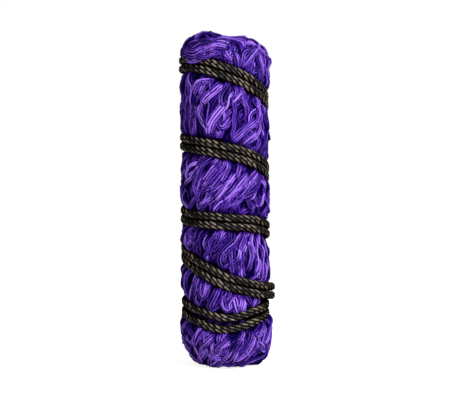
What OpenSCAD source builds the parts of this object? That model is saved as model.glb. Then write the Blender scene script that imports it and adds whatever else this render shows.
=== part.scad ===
// Rolled hay net, bound with its own doubled drawcord and standing on its end.
// The roll's axis is +Z. The front faces -Y. Angles round the roll start at the front and
// grow towards +X, so one turn of cord is 360 degrees and goes down as the angle grows.

/* [Rolled net] */
// Height of the roll as it stands
roll_h = 320; // [270:1:420]
// Diameter over the outer netting, between two turns of cord
roll_d = 87; // [75:1:110]
// Thickness of the outer layer of netting
layer_t = 9.5; // [7:0.5:12]
// How deep the creases between the bundles of twine are
crease_d = 2.4; // [0:0.1:3]
// How far the top of the roll leans to the left of its foot
lean = 3.4; // [0:0.1:8]

/* [Folded ends] */
// Height of the folded netting over the inner roll
top_fold_h = 22; // [16:1:32]
// Width over which the left fold rounds off to its edge
left_fold_r = 23; // [16:1:30]
// Width over which the right fold rounds off to its edge
right_fold_r = 26; // [16:1:30]
// How much the left fold falls off towards the right fold, as a share of the way there
fold_slope = 0.24; // [0:0.02:0.4]
// How much lower the right fold is than the left one
right_fold_drop = 6; // [0:1:9]
// Height of the folded netting under the inner roll
foot_h = 28; // [20:1:36]
// Height that the foot's round edge takes
foot_round_h = 28; // [20:1:30]
// Diameter of the flat that the roll stands on
foot_d = 48; // [36:1:56]

/* [Drawcord] */
// Diameter of the drawcord
cord_d = 8; // [6:0.5:10]
// Gap between the two runs of the doubled cord
run_gap = 0.2; // [0.1:0.1:1]
// Depth that a turn of cord stands off the inner roll
cord_seat = 1.2; // [1:0.1:2]
// Space over the first turn of cord, under the top fold
first_turn_gap = 2.1; // [1:0.1:6]
// Height of the lowest turn's middle above the floor
last_turn_z = 43.5; // [42:0.5:60]

/* [Fit] */
// Clearance between neighbouring layers of netting
clear = 0.3; // [0.2:0.05:0.6]
// Clearance of the netting to the side of the cord
cord_clear = 0.5; // [0.4:0.1:1]

/* [Hidden] */

net_colour = "#5b2bc4";
inner_colour = "#3a1a8c";
cord_colour = "#1d1b18";

roll_r = roll_d / 2;
inner_r = roll_r - layer_t;
inner_top = roll_h - top_fold_h - clear;
inner_bottom = foot_h + clear;
cord_r = cord_d / 2;
wind_r = inner_r + cord_seat + cord_r;
run_pitch = cord_d + run_gap;
pair_half = run_pitch / 2 + cord_r + cord_clear;

// The cord's route. It has one point every eighth of a turn, from its start at the back: how
// high the middle of the doubled cord is, as wound on a 320 mm roll, how far it stands out
// from its seat, and how much the two runs spread apart.
turn_z = [
    287, 287.5, 287, 285, 276.5, 264, 251.5, 240.5,
    231, 222, 214, 209, 203.2, 195, 183.5, 173.5,
    163, 152.5, 144, 140, 137.5, 134.8, 129, 125,
    121, 115.5, 108.5, 97.5, 82.8, 74.5, 70.3, 67,
    64, 60.5, 56.5, 50.3, 43.5, 50, 55.5, 65.5, 75.5];
turn_out = [
    -14, -7, 0, 0, 0, 0, 0, 0,
    0, 0, 0, 0, 0, 0, 0, 0,
    0, 0, 0, 0, 0, 0, 0, 0,
    0, 0, 0, 0, 0, 0.8, 4.4, 5.2,
    2.6, 0, 0, 0, 0, 0, -1.2, -6.4, -14];
turn_spread = [
    0, 0, 0, 0, 0, 0, 0, 0,
    0, 0, 0, 0, 0, 0, 0, 0,
    0, 0, 0, 0, 0, 0, 0, 0,
    0, 0, 0, 0, 0, 0, 0, 0,
    0, 0, 1.5, 2.5, 2.5, 1.5, 0, 0, 0];
route_step = 45;
route_start = -180;
route_end = route_start + route_step * (len(turn_z) - 1);
// Where the cord comes out of the inner roll, and where it crosses over its own tail
emerge_a = -150;
crossing_a = 1215;
// The first and the lowest level point of the route, which the turns are stretched between
first_level = 287;
last_level = 43.5;
first_turn_z = inner_top - first_turn_gap - pair_half;
stretch = (first_turn_z - last_turn_z) / (first_level - last_level);

// The crossing stands out on the right and at the back, so the roll's axis stands this far to
// the left of and in front of the middle of the whole outline
left_shift = 2;
front_shift = 1.1;

// Degrees between two rings of a run of cord, and the sides of each ring
cord_step = 22.5;
cord_sides = 8;
// Degrees between two outlines of a layer, and the least height that the outer layer has
layer_step = 5;
min_layer = 1.2;
// The netting swells to its full thickness where two turns are this far apart
full_swell = 10;
// Creases round the roll, and how many degrees they turn with each mm of height
crease_count = 18;
crease_turn = 0.7;
// The bevel at a layer's edges, and the straight band under the foot's rim
edge = 2;
rim_band = 3;

// A smooth curve through evenly spaced values, straight on past either end
function at(v, i) =
    i < 0 ? v[0] + i * (v[1] - v[0])
    : i > len(v) - 1 ? v[len(v) - 1] + (i - len(v) + 1) * (v[len(v) - 1] - v[len(v) - 2])
    : v[i];
function blend(p, q, r, s, f) =
    q + f / 2 * (r - p + f * (2 * p - 5 * q + 4 * r - s + f * (3 * (q - r) + s - p)));
function smooth(v, t) =
    let (i = floor(t)) blend(at(v, i - 1), at(v, i), at(v, i + 1), at(v, i + 2), t - i);
function along(v, a) = smooth(v, (a - route_start) / route_step);

function turn_height(a) = last_turn_z + stretch * (along(turn_z, a) - last_level);
function spread(a) = (run_pitch + max(0, along(turn_spread, a))) / 2;
function lean_x(z) = lean * (0.5 - z / roll_h) - left_shift;
function place(r, a, z) = [lean_x(z) + r * sin(a), -r * cos(a) - front_shift, z];

// The middle of the doubled cord, its direction, and the two runs beside it
function pair_point(a) = place(wind_r + along(turn_out, a), a, turn_height(a));
function unit(v) = v / norm(v);
function cord_dir(a) = unit(pair_point(a + 0.5) - pair_point(a - 0.5));
function upward(a) = let (u = unit(cross([sin(a), -cos(a), 0], cord_dir(a)))) u.z < 0 ? -u : u;
function run_point(a, side) = pair_point(a) + side * spread(a) * upward(a);

// How much of the roll's height half of the doubled cord takes, at its slope
function half_height(a) = (spread(a) + cord_r + cord_clear) / max(0.6, upward(a).z);
function over_cord(a) = turn_height(a) + half_height(a);
function under_cord(a) = turn_height(a) - half_height(a);

// Netting crowns between two turns: full in the middle and pinched in at both edges. Over the
// first turn it stays full up to the top fold.
crown_power = 0.12;
function crown(u, open) = pow(sin((open ? 90 : 180) * u), crown_power);
crown_steps = [0.01, 0.06, 0.15, 0.25, 0.35, 0.45, 0.55, 0.65, 0.75, 0.85, 0.94, 0.99];

// Bundles of twine lean up to the right, with a crease between each two of them
function crease(a, z) = crease_d / 2 * (1 - cos(crease_count * (a - crease_turn * z)));

// Chords of a ring cut inside its circle, so points of an inner wall lie this much further out
chord = 1 / cos(layer_step / 2);

// A skin over rings of points that all have the same count, with its two ends capped
module skin(rings) {
    n = len(rings[0]);
    last = len(rings) - 1;
    sides = [
        for (i = [0 : last - 1], j = [0 : n - 1])
        let (p = i * n + j, q = i * n + (j + 1) % n)
        each [[p, q, q + n], [p, q + n, p + n]]];
    caps = [[for (j = [n - 1 : -1 : 0]) j], [for (j = [0 : n - 1]) last * n + j]];
    polyhedron(points = [for (ring = rings) each ring], faces = concat(sides, caps));
}

// The rolled layers that the outer one hides
module net_inner_roll() {
    color(inner_colour)
    skin([
        for (row = [[inner_r - edge, inner_bottom], [inner_r, inner_bottom + edge],
                    [inner_r, inner_top - edge], [inner_r - edge, inner_top]])
        [for (a = [layer_step : layer_step : 360]) place(row[0], -a, row[1])]]);
}

// The outer layer, which swells out in one long ribbon between the turns of cord
function ribbon_top(a) =
    a < emerge_a + 360 ? inner_top : under_cord(a - 360);
function ribbon_ring(a) =
    let (low = over_cord(a), high = ribbon_top(a), open = a < emerge_a + 360,
         inside = (inner_r + clear) * chord,
         thick = (roll_r - inside) * min(1, (high - low) / full_swell))
    concat(
        [place(inside, a, low)],
        [for (u = crown_steps)
            let (z = low + u * (high - low), full = thick * crown(u, open))
            place(inside + full * (1 - crease(a, z) / layer_t), a, z)],
        [place(inside, a, high)]);
module net_outer_layer() {
    angles = [
        for (a = [emerge_a : layer_step : crossing_a + 360])
        if (ribbon_top(a) - over_cord(a) > min_layer) a];
    color(net_colour) skin([for (a = angles) ribbon_ring(a)]);
}

// The folded lower end, a cup that the inner roll stands in and that the lowest turn closes.
// Its outline at an angle runs from the flat below, up and over the rim, to the cup's floor.
function foot_rim(a) =
    a < crossing_a + layer_step ? min(under_cord(a), under_cord(a + 360)) : under_cord(a);
function foot_outline(a) =
    let (rim = foot_rim(a), inside = (inner_r + clear) * chord, swell = roll_r - foot_d / 2)
    concat(
        [for (t = [0 : 18 : 90])
            let (z = foot_round_h * (1 - cos(t)))
            place(foot_d / 2 + swell * sin(t) - crease(a, z) * pow(sin(t), 2), a, z)],
        [place(roll_r - crease(a, rim), a, rim - edge - rim_band),
         place(roll_r - edge - crease(a, rim), a, rim - edge),
         place(inside, a, rim), place(inside, a, foot_h)]);
module net_foot_fold() {
    outlines = [
        for (a = [crossing_a + 360 - layer_step : -layer_step : crossing_a]) foot_outline(a)];
    color(net_colour)
    skin([for (row = [0 : len(outlines[0]) - 1]) [for (outline = outlines) outline[row]]]);
}

// The folds of netting at the top are two lobes with a valley between them, on a flat base.
// They are built up of slices across, which close on the base and lie closer towards the rim.
fold_r = roll_r - 1;
fold_base = roll_h - top_fold_h;
peak_x = -0.42 * roll_r;
valley_x = 0.29 * roll_r;
valley_w = 9;
valley_dip = 0.16;
slice_rim = 0.5;
slice_points = 24;
left_slices = 14;
right_slices = 9;
function quarter(t) = sqrt(max(0, 1 - pow(1 - min(1, max(0, t)), 2)));
function lobe(x, y, width, rise) =
    let (near = max(0, 1 - abs(x - valley_x) / valley_w),
         from_edge = fold_r - norm([x, y]),
         creased = 1 - crease(atan2(x, -y), fold_base) / top_fold_h)
    rise * quarter(from_edge / width) * (1 - valley_dip * near * near) * creased;
function slice(x, width, rise) =
    let (reach = sqrt(fold_r * fold_r - x * x))
    [for (k = [0 : slice_points])
        let (y = -reach * cos(180 * k / slice_points))
        [lean_x(roll_h) + x, y - front_shift, fold_base + lobe(x, y, width, rise)]];
// Where the slices lie, from the rim to the valley
function slice_x(rim, valley, k, count) = rim + (valley - rim) * (1 - cos(90 * k / count));
module net_top_fold_left() {
    color(net_colour)
    skin([for (k = [0 : left_slices])
        let (x = slice_x(slice_rim - fold_r, valley_x - clear / 2, k, left_slices))
        slice(x, left_fold_r, top_fold_h - fold_slope * max(0, x - peak_x))]);
}
module net_top_fold_right() {
    color(net_colour)
    skin([for (k = [right_slices : -1 : 0])
        let (x = slice_x(fold_r - slice_rim, valley_x + clear / 2, k, right_slices))
        slice(x, right_fold_r, top_fold_h - right_fold_drop)]);
}

// One run of the doubled drawcord, from inside the roll's top to its tail under the crossing
function cord_ring(a, side) =
    let (c = run_point(a, side), up = upward(a), out = cross(cord_dir(a), up))
    [for (k = [0 : cord_sides - 1])
        let (t = 360 * k / cord_sides) c + cord_r * (cos(t) * out + sin(t) * up)];
module drawcord(side) {
    color(cord_colour)
    skin([for (a = [route_start : cord_step : route_end]) cord_ring(a, side)]);
}
module drawcord_upper_run() { drawcord(1); }
module drawcord_lower_run() { drawcord(-1); }

net_inner_roll();
net_outer_layer();
net_foot_fold();
net_top_fold_left();
net_top_fold_right();
drawcord_upper_run();
drawcord_lower_run();
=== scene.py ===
"""Rolled hay net, bound with its own doubled drawcord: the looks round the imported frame.

The net is laid strand by strand. Each twine of the net is a flat bundle of yarns that follows
the lay of the netting over the roll, and rests on the twines that were laid before it. The
drawcord is laid cord along the route that the frame's solids follow.
All lengths are in metres, and angles round the roll are in degrees from the front towards +X.
"""
import math

import bmesh
import bpy
import numpy as np
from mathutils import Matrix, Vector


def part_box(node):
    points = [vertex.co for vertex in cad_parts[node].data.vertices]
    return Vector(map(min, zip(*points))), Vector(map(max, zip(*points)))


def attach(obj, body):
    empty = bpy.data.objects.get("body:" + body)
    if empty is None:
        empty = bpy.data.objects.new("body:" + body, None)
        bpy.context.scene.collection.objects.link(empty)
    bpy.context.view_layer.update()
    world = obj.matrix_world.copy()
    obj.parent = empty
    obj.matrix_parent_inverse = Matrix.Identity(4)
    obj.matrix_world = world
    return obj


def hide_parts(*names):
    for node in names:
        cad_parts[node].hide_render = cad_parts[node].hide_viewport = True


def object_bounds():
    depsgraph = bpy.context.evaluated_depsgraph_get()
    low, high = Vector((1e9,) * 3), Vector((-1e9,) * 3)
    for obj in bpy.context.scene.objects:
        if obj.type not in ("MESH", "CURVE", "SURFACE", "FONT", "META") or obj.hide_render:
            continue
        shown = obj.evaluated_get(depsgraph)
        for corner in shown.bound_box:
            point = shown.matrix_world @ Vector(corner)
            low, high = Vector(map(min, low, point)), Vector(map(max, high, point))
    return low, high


bl_info = {
    "name": "Rolled hay net",
    "version": (1, 0, 0),
    "blender": (4, 5, 0),
    "location": "View3D > Sidebar > Hay net",
    "description": "Builds a rolled hay net with its drawcord round a packed frame",
    "category": "Object",
}

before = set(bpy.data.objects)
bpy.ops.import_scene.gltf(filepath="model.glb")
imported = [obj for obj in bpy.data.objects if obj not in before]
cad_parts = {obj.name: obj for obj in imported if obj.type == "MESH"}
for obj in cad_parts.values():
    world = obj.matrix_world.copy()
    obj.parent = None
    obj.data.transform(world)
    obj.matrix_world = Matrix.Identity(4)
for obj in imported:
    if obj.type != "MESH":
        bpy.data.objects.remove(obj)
CAD_LOW, CAD_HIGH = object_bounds()
ROLL_LOW, ROLL_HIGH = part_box("net_inner_roll")
FOOT_LOW, FOOT_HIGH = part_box("net_foot_fold")

# The roll's own sizes, read from the frame
ROLL_H = CAD_HIGH.z
ROLL_R = (FOOT_HIGH.y - FOOT_LOW.y) / 2
INNER_R = (ROLL_HIGH.y - ROLL_LOW.y) / 2
FRONT_SHIFT = -(FOOT_HIGH.y + FOOT_LOW.y) / 2
LEFT_SHIFT = 0.002
LEAN = 0.0034
FOOT_H = ROLL_LOW.z
# The steps, round the roll and along a line, over which a slope is measured
SLOPE_A = 0.5
SLOPE_V = 0.0005


# ------------------------ lines of points

def unit(v):
    return v / np.maximum(np.linalg.norm(v, axis=-1, keepdims=True), 1e-12)


def running(steps):
    """The way gone after each step, from 0."""
    return np.concatenate([[0], np.cumsum(steps)])


def way_along(points):
    """The way along a line to each of its points."""
    return running(np.linalg.norm(np.diff(points, axis=0), axis=1))


def smooth_through(values, t):
    """The smooth curve through values, at places t counted from the first one."""
    v = np.asarray(values, float)
    i = np.clip(np.floor(t).astype(int), 0, len(v) - 2)
    f = t - i
    v = np.concatenate([[2 * v[0] - v[1]], v, [2 * v[-1] - v[-2]]])
    p, q, r, s = (v[i + k] for k in range(4))
    return q + f / 2 * (r - p + f * (2 * p - 5 * q + 4 * r - s + f * (3 * (q - r) + s - p)))


def wobble(rng, count, step, spacing, size):
    """A smooth random curve of count values a step apart, with bends about spacing apart."""
    knots = max(4, int(count * step / spacing) + 3)
    values = rng.normal(0, size, knots)
    t = np.linspace(0, knots - 1.001, count)
    i = np.floor(t).astype(int)
    f = t - i
    f = f * f * (3 - 2 * f)
    return values[i] * (1 - f) + values[np.minimum(i + 1, knots - 1)] * f


# ------------------------ the cord's route

# The middle of the doubled cord, every eighth of a turn from its start inside the roll: its
# height, how far it stands out from its seat, and how much its two runs spread apart
TURN_Z = [
    0.287, 0.2875, 0.287, 0.285, 0.2765, 0.264, 0.2515, 0.2405,
    0.231, 0.222, 0.214, 0.209, 0.2032, 0.195, 0.1835, 0.1735,
    0.163, 0.1525, 0.144, 0.14, 0.1375, 0.1348, 0.129, 0.125,
    0.121, 0.1155, 0.1085, 0.0975, 0.0828, 0.0745, 0.0703, 0.067,
    0.064, 0.0605, 0.0565, 0.0503, 0.0435, 0.05, 0.0555, 0.0655, 0.0755]


def mostly_zero(values):
    """A route table that is 0 but for these values, given by their places in it."""
    return [values.get(k, 0) for k in range(len(TURN_Z))]


TURN_OUT = mostly_zero({0: -0.014, 1: -0.007, 29: 0.0008, 30: 0.0044, 31: 0.0052, 32: 0.0026,
                        38: -0.0012, 39: -0.0064, 40: -0.014})
TURN_SPREAD = mostly_zero({34: 0.0015, 35: 0.0025, 36: 0.0025, 37: 0.0015})
TURN = 360.0
HALF_TURN = TURN / 2
ROUTE_START = -HALF_TURN
ROUTE_STEP = 45.0
ROUTE_END = ROUTE_START + ROUTE_STEP * (len(TURN_Z) - 1)
# Where the cord comes out of the roll, and where its last turn crosses the one before
EMERGE_A = -150.0
CROSSING_A = 1215.0
# The cord's diameter, the gap between its runs, how deep it sits in the netting, the room that
# the netting leaves it, and the least share of its width that stands upright on a slope
CORD_D = 0.008
RUN_GAP = 0.0002
CORD_SEAT = 0.0012
CORD_CLEAR = 0.0005
UPRIGHT_SHARE = 0.6
WIND_R = INNER_R + CORD_SEAT + CORD_D / 2
RUN_PITCH = CORD_D + RUN_GAP


def along(values, a):
    """The smooth curve through a route table's values, at angles a."""
    return smooth_through(values, (np.asarray(a, float) - ROUTE_START) / ROUTE_STEP)


def place(r, a, z):
    """A point at radius r, angle a and height z round the leaning axis of the roll."""
    rad = np.radians(a)
    x = LEAN * (0.5 - z / ROLL_H) - LEFT_SHIFT + r * np.sin(rad)
    return np.stack(np.broadcast_arrays(x, -r * np.cos(rad) - FRONT_SHIFT, z), axis=-1)


def pair_point(a):
    return place(WIND_R + along(TURN_OUT, a), a, along(TURN_Z, a))


def upward(a):
    """The direction across the doubled cord, from its lower run to its upper one."""
    rad = np.radians(a)
    ahead = unit(pair_point(a + SLOPE_A) - pair_point(a - SLOPE_A))
    out = np.stack([np.sin(rad), -np.cos(rad), np.zeros_like(rad)], axis=-1)
    up = unit(np.cross(out, ahead))
    return np.where(up[..., 2:] < 0, -up, up)


def spread(a):
    return (RUN_PITCH + np.maximum(0, along(TURN_SPREAD, a))) / 2


def run_point(a, side):
    return pair_point(a) + side * spread(a)[..., None] * upward(a)


def half_height(a):
    """How much of the roll's height half of the doubled cord takes, at its slope."""
    return (spread(a) + CORD_D / 2 + CORD_CLEAR) / np.maximum(UPRIGHT_SHARE, upward(a)[..., 2])


# ------------------------ the roll's skin

# The skin is the smooth surface that the outermost strands touch. A place on it has an angle
# and a girth line: the way along the line from the seam under the foot, up the side and over
# the top fold to the valley between the two lobes.
FLAT_R = 0.024
SEAM_HALF = 0.012
TOP_Z = 0.294
TOP_R = 0.0433
TOP_EDGE = 0.016
NARROWS_OVER = 0.03
LINE_OVER_TOP = 0.075
VALLEY_X = 0.0125
VALLEY_REACH = 0.8
VALLEY_DIP = 0.16
VALLEY_WIDTH = 0.009
LOBE_EDGE = (0.029, 0.031)
LOBE_RISE = (ROLL_H - TOP_Z - 0.0013, 0.0208)
LOBE_PEAK_X = -0.018
LOBE_SLOPE = 0.26
FOOT_TILT = 0.12
FOOT_TILT_X = -0.008
FOOT_TILT_H = 1.2
LEAST_GIRTH = 0.00016


def side_profile():
    """Radius and height along a girth line, from the foot's seam to the top fold."""
    t = np.radians(np.linspace(0, 90, 40))
    r = FLAT_R + (ROLL_R - FLAT_R) * np.sin(t)
    z = FOOT_H * (1 - np.cos(t))
    r = np.concatenate([[0], r, [ROLL_R, TOP_R]])
    z = np.concatenate([[0], z, [TOP_Z - NARROWS_OVER, TOP_Z]])
    return running(np.hypot(np.diff(r), np.diff(z))), r, z


SIDE_V, SIDE_R, SIDE_Z = side_profile()
TOP_V = SIDE_V[-1]
LINE_END = TOP_V + LINE_OVER_TOP


def v_of_height(z):
    """The way along a girth line to a height on the side."""
    return np.interp(z, SIDE_Z[1:], SIDE_V[1:])


def height_of(v):
    """Height on the side for a way v, which goes on growing over the top."""
    return np.interp(v, SIDE_V, SIDE_Z) + np.maximum(0, v - TOP_V)


def way_to(height):
    """The way along a girth line for a height, which goes on growing over the top."""
    return v_of_height(np.minimum(height, TOP_Z)) + np.maximum(0, height - TOP_Z)


def way_beside(a, rise, start=EMERGE_A, end=ROUTE_END):
    """The way to a height above the middle of the cord, where it winds from start to end."""
    return v_of_height(along(TURN_Z, np.clip(a, start, end)) + rise)


def quarter(t):
    """The rise of a quarter circle at shares t of its width."""
    return np.sqrt(np.maximum(0, 1 - (1 - np.clip(t, 0, 1)) ** 2))


def top_length(a):
    """How long a girth line is from the top fold's edge to the valley."""
    rad = np.radians(a)
    edge = np.stack([TOP_R * np.sin(rad), -TOP_R * np.cos(rad)], axis=-1)
    valley = np.stack([np.full_like(rad, VALLEY_X), edge[..., 1] * VALLEY_REACH], axis=-1)
    return np.linalg.norm(valley - edge, axis=-1) + TOP_EDGE * (math.pi / 2 - 1)


def skin(a, v):
    """Points of the skin at angles a and ways v along their girth lines."""
    a, v = np.broadcast_arrays(np.asarray(a, float), np.asarray(v, float))
    rad = np.radians(a)
    r = np.interp(v, SIDE_V, SIDE_R)
    z = np.interp(v, SIDE_V, SIDE_Z)
    x = r * np.sin(rad)
    y = -r * np.cos(rad)
    x = x + SEAM_HALF * np.sin(rad) * np.clip(1 - v / FLAT_R, 0, 1)
    # The foot is folded up a little on the left
    low = np.clip(1 - z / (FOOT_TILT_H * FOOT_H), 0, 1)
    z = z + FOOT_TILT * np.clip(FOOT_TILT_X - x, 0, None) * low
    # Over the top, each line runs from the edge towards the valley between the lobes
    w = np.maximum(0, v - TOP_V)
    bend = TOP_EDGE * math.pi / 2
    e = np.where(w < bend, TOP_EDGE * (1 - np.cos(w / TOP_EDGE)), TOP_EDGE + w - bend)
    to_x = VALLEY_X - TOP_R * np.sin(rad)
    to_y = TOP_R * np.cos(rad) * (1 - VALLEY_REACH)
    share = np.minimum(e / np.hypot(to_x, to_y), 1)
    x = np.where(w > 0, TOP_R * np.sin(rad) + to_x * share, x)
    y = np.where(w > 0, -TOP_R * np.cos(rad) + to_y * share, y)
    from_edge = TOP_R - np.hypot(x, y)
    fall = LOBE_SLOPE * np.clip(x - LOBE_PEAK_X, 0, None)
    left, right = (rise * quarter(from_edge / edge) for rise, edge in zip(LOBE_RISE, LOBE_EDGE))
    rise = np.where(x > VALLEY_X, right, left - fall)
    near = 1 - np.clip(np.abs(x - VALLEY_X) / VALLEY_WIDTH, 0, 1)
    z = np.where(w > 0, TOP_Z + rise * (1 - VALLEY_DIP * near ** 2), z)
    x = x + LEAN * (0.5 - z / ROLL_H) - LEFT_SHIFT
    return np.stack([x, y - FRONT_SHIFT, z], axis=-1)


def skin_frame(a, v):
    """Points of the skin with their outward normals, and their girth per degree."""
    s = skin(a, v)
    across = (skin(a + SLOPE_A, v) - skin(a - SLOPE_A, v)) / (2 * SLOPE_A)
    up = skin(a, v + SLOPE_V) - skin(a, np.maximum(v - SLOPE_V, 0))
    n = unit(np.cross(across, up))
    inside = np.stack([s[..., 0] * 0, s[..., 1] * 0, np.clip(s[..., 2], FOOT_H, TOP_Z)], axis=-1)
    n = np.where(np.sum(n * (s - inside), axis=-1, keepdims=True) < 0, -n, n)
    return s, n, np.maximum(np.linalg.norm(across, axis=-1), LEAST_GIRTH)


# ------------------------ how the netting piles up

# The pile is a map over the skin, in cells of an angle and a way. The cord winds round it in so
# many turns, the last of which laps over its crossing by a few degrees.
MAP_A = 288
MAP_STEP_A = TURN / MAP_A
MAP_STEP_V = 0.001
MAP_V = int(LINE_END / MAP_STEP_V) + 2
TURNS = 5
LAST_LAP = 15
# The netting's form: the cord's groove, its swelling out of it, lumps, creases and the foot
GROOVE = ROLL_R - INNER_R - 0.0006
SHOULDER = 0.12
TOP_SWELL = 0.02
FOOT_SWELL = 0.024
NARROW_GAP = 0.01
LUMP = 0.0005
LUMPS_ROUND = 15
LUMPS_UP = 24
CREASE_D = 0.0024
CREASES = 18
CREASE_TURN = 700
TOP_CREASE = 0.8
BULGE = 0.0024
BULGE_LOW = 0.024
BULGE_HIGH = 0.06
# A twine rests on this share of its width, and its width is felt at so many places
RESTS_ON = 0.8
FELT_AT = 7


def shoulder(t):
    """How the netting swells between two turns of cord, at shares t of the gap: steep beside
    the cord and flat between."""
    return np.sin(np.pi * np.clip(t, 0, 1)) ** SHOULDER


def crease(a, z):
    """Depth of the creases between the bundles of twine, which lean up to the right."""
    return CREASE_D / 2 * (1 - np.cos(np.radians(CREASES * (a - CREASE_TURN * z))))


def allowed_depth(rng):
    """How far under the skin the outermost strand lies, at each place of the map."""
    a = -HALF_TURN + MAP_STEP_A * np.arange(MAP_A)
    v = MAP_STEP_V * np.arange(MAP_V)
    z = height_of(v)
    depth = np.broadcast_to(-crease(a, TOP_Z)[:, None] * TOP_CREASE, (MAP_A, MAP_V)).copy()
    high = np.full(MAP_A, height_of(LINE_END))
    for k in range(TURNS):
        at = a + TURN * k
        wound = (at >= EMERGE_A) & (at <= CROSSING_A + TURN + LAST_LAP)
        mid, half = along(TURN_Z, at), half_height(at)
        top, low = np.where(wound, mid + half, -1), np.where(wound, mid - half, high)
        gap = np.maximum(high - top, 1e-4)
        t = (z[None, :] - top[:, None]) / gap[:, None]
        if k == 0:
            t = np.minimum(t * gap[:, None] / TOP_SWELL, 0.5)
        inside = (t > 0) & (t < 1) & wound[:, None]
        swell = shoulder(t) * np.minimum(1, gap / NARROW_GAP)[:, None]
        pinched = -GROOVE * (1 - swell) - crease(at[:, None], np.minimum(z, TOP_Z)) * swell
        depth = np.where(inside, pinched, depth)
        lifted = np.clip(along(TURN_OUT, at), 0, 1)
        in_cord = (z[None, :] <= top[:, None]) & (z[None, :] >= low[:, None])
        depth = np.where(in_cord, (lifted - GROOVE)[:, None], depth)
        high = np.where(wound, np.minimum(low, high), high)
    # The foot swells out from under the lowest turn
    drop = np.clip((high[:, None] - z[None, :]) / FOOT_SWELL, 0, 0.5)
    foot = (z[None, :] < high[:, None]) & (v[None, :] < TOP_V)
    swell = shoulder(drop)
    folded = crease(a[:, None], z) * swell * np.clip(z / FOOT_H, 0, 1)
    bulge = BULGE * np.sin(np.pi * np.clip((z - BULGE_LOW) / (BULGE_HIGH - BULGE_LOW), 0, 1))
    depth = np.where(foot, (bulge + GROOVE) * swell - GROOVE - folded, depth)
    return depth + lumps(rng, a, v) * (depth > -GROOVE / 2)


def lumps(rng, a, v):
    """Gentle lumps all over the roll, about 20 mm apart."""
    around = rng.normal(0, LUMP, (LUMPS_ROUND, LUMPS_UP))
    around = np.concatenate([around, around[:1]])
    place_a = (a + HALF_TURN) / TURN * LUMPS_ROUND
    place_v = v / LINE_END * (LUMPS_UP - 2)
    rows = np.array([np.interp(place_a, np.arange(LUMPS_ROUND + 1), column)
                     for column in around.T])
    return np.array([np.interp(place_v, np.arange(LUMPS_UP), column) for column in rows.T])


class Pile:
    """The netting laid so far: how high it stands at each place of the skin."""

    def __init__(self, rng, thickness):
        self.limit = allowed_depth(rng)
        self.height = self.limit - thickness

    def cells(self, a, v):
        i = np.mod(np.rint((a + HALF_TURN) / MAP_STEP_A).astype(int), MAP_A)
        return i, np.clip(np.rint(v / MAP_STEP_V).astype(int), 0, MAP_V - 1)

    def read(self, layer, a, v):
        """The layer between its cells, at angles a and ways v."""
        fa = np.mod((a + HALF_TURN) / MAP_STEP_A, MAP_A)
        fv = np.clip(v / MAP_STEP_V, 0, MAP_V - 1.001)
        i, j = np.floor(fa).astype(int) % MAP_A, np.floor(fv).astype(int)
        s, t = fa - np.floor(fa), fv - j
        k = (i + 1) % MAP_A
        return ((layer[i, j] * (1 - t) + layer[i, j + 1] * t) * (1 - s)
                + (layer[k, j] * (1 - t) + layer[k, j + 1] * t) * s)

    def rest(self, a, v, side_a, side_v, half_w, half_t, proud, tight):
        """The height at which a twine along (a, v) rests, bridging from bump to bump."""
        offsets = np.linspace(-RESTS_ON, RESTS_ON, FELT_AT) * half_w
        under = np.max([self.read(self.height, a + o * side_a, v + o * side_v)
                        for o in offsets], axis=0)
        cap = self.read(self.limit, a, v) + proud - half_t
        need = under + half_t
        for _ in range(tight):
            wide = np.concatenate([need[:1], need, need[-1:]])
            need = np.maximum(need, (wide[:-2] + wide[2:]) / 2)
        wide = np.concatenate([need[:1], need[:1], need, need[-1:], need[-1:]])
        need = (wide[:-4] + 2 * wide[1:-3] + 3 * wide[2:-2] + 2 * wide[3:-1] + wide[4:]) / 9
        return np.minimum(need, cap)

    def lay(self, a, v, side_a, side_v, h, half_w, half_t):
        """Raises the pile to the top of a twine that lies along (a, v) at height h."""
        for o in np.linspace(-1, 1, FELT_AT):
            i, j = self.cells(a + o * half_w * side_a, v + o * half_w * side_v)
            np.maximum.at(self.height, (i, j), h + half_t * (1 - 0.5 * o * o))


# ------------------------ the twines' lay

# Which way the twines lean from upright, in degrees, positive up to the right as seen from
# outside: one row for each height, one column for each angle round the roll
LAY_ANGLES = (-180, -120, -80, -50, -20, 10, 40, 65, 90, 130)
LAY_ROWS = (
    (0.000, (20, 20, 25, 32, 34, 30, 22, 10, 10, 20)),
    (0.030, (20, 15, -10, 30, 30, 26, 24, 16, 5, 20)),
    (0.070, (20, 15, 20, 28, 22, 10, 15, 10, 5, 15)),
    (0.110, (20, 10, 5, 12, 35, 25, 5, 2, 2, 15)),
    (0.135, (20, 10, 0, 8, 40, 30, 12, 4, 2, 15)),
    (0.175, (20, 15, 4, 30, 42, 42, 35, 15, 0, 15)),
    (0.215, (20, 15, 4, 35, 40, 40, 42, 30, 2, 15)),
    (0.240, (20, 12, 4, 10, 30, 35, 35, 20, 0, 15)),
    (0.270, (20, 12, 6, 30, 42, 25, 10, 5, 0, 15)),
    (0.295, (20, 20, 45, 50, 40, -8, 20, 10, 0, 15)),
    (0.340, (20, 30, 50, 50, 45, -15, 25, 30, 20, 15)),
)
# A twine's sway, its steepest lean, its rings each way, and how near it may come to the seam
SWAY_LENGTH = 0.04
MOST_LEAN = 60
MOST_RINGS = 60
LEAST_RINGS = 5
SEAM_CLEAR = 0.001


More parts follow.
